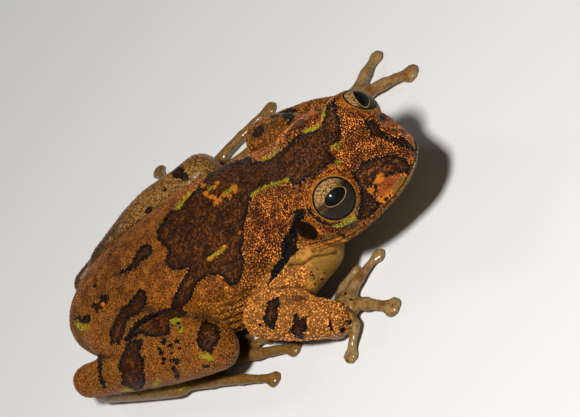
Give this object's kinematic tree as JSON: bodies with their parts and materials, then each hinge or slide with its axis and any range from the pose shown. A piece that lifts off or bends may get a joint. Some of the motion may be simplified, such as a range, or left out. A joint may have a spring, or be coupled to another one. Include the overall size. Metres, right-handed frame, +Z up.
{
  "type": "tawny tree frog model",
  "caption": "Still, life-size model of a tawny tree frog crouched on a flat surface, head turned to its right, webbed toes spread.",
  "frame": {"origin": "centre of the bounding box on the floor plane that the belly, hands and feet rest on", "axes": "-Y the way the body faces, +X the frog's left, +Z up"},
  "size_m": [0.0482, 0.0634, 0.0165],
  "materials": {
    "back_skin": "wet, finely grained skin of a painted cast",
    "limb_skin": "wet, finely grained skin of a painted cast",
    "digit_skin": "smooth pale skin of a painted cast",
    "iris": "clear glossy eye"
  },
  "bodies": {
    "root": {"torso": "back_skin", "head": "back_skin", "eye_left": "iris", "eye_right": "iris", "upper_arm_left": "limb_skin", "upper_arm_right": "limb_skin", "forearm_left": "limb_skin", "forearm_right": "limb_skin", "hand_left": "digit_skin", "hand_right": "digit_skin", "thigh_left": "limb_skin", "thigh_right": "limb_skin", "shank_left": "limb_skin", "shank_right": "limb_skin", "foot_left": "digit_skin", "foot_right": "digit_skin"}
  },
  "joints": []
}
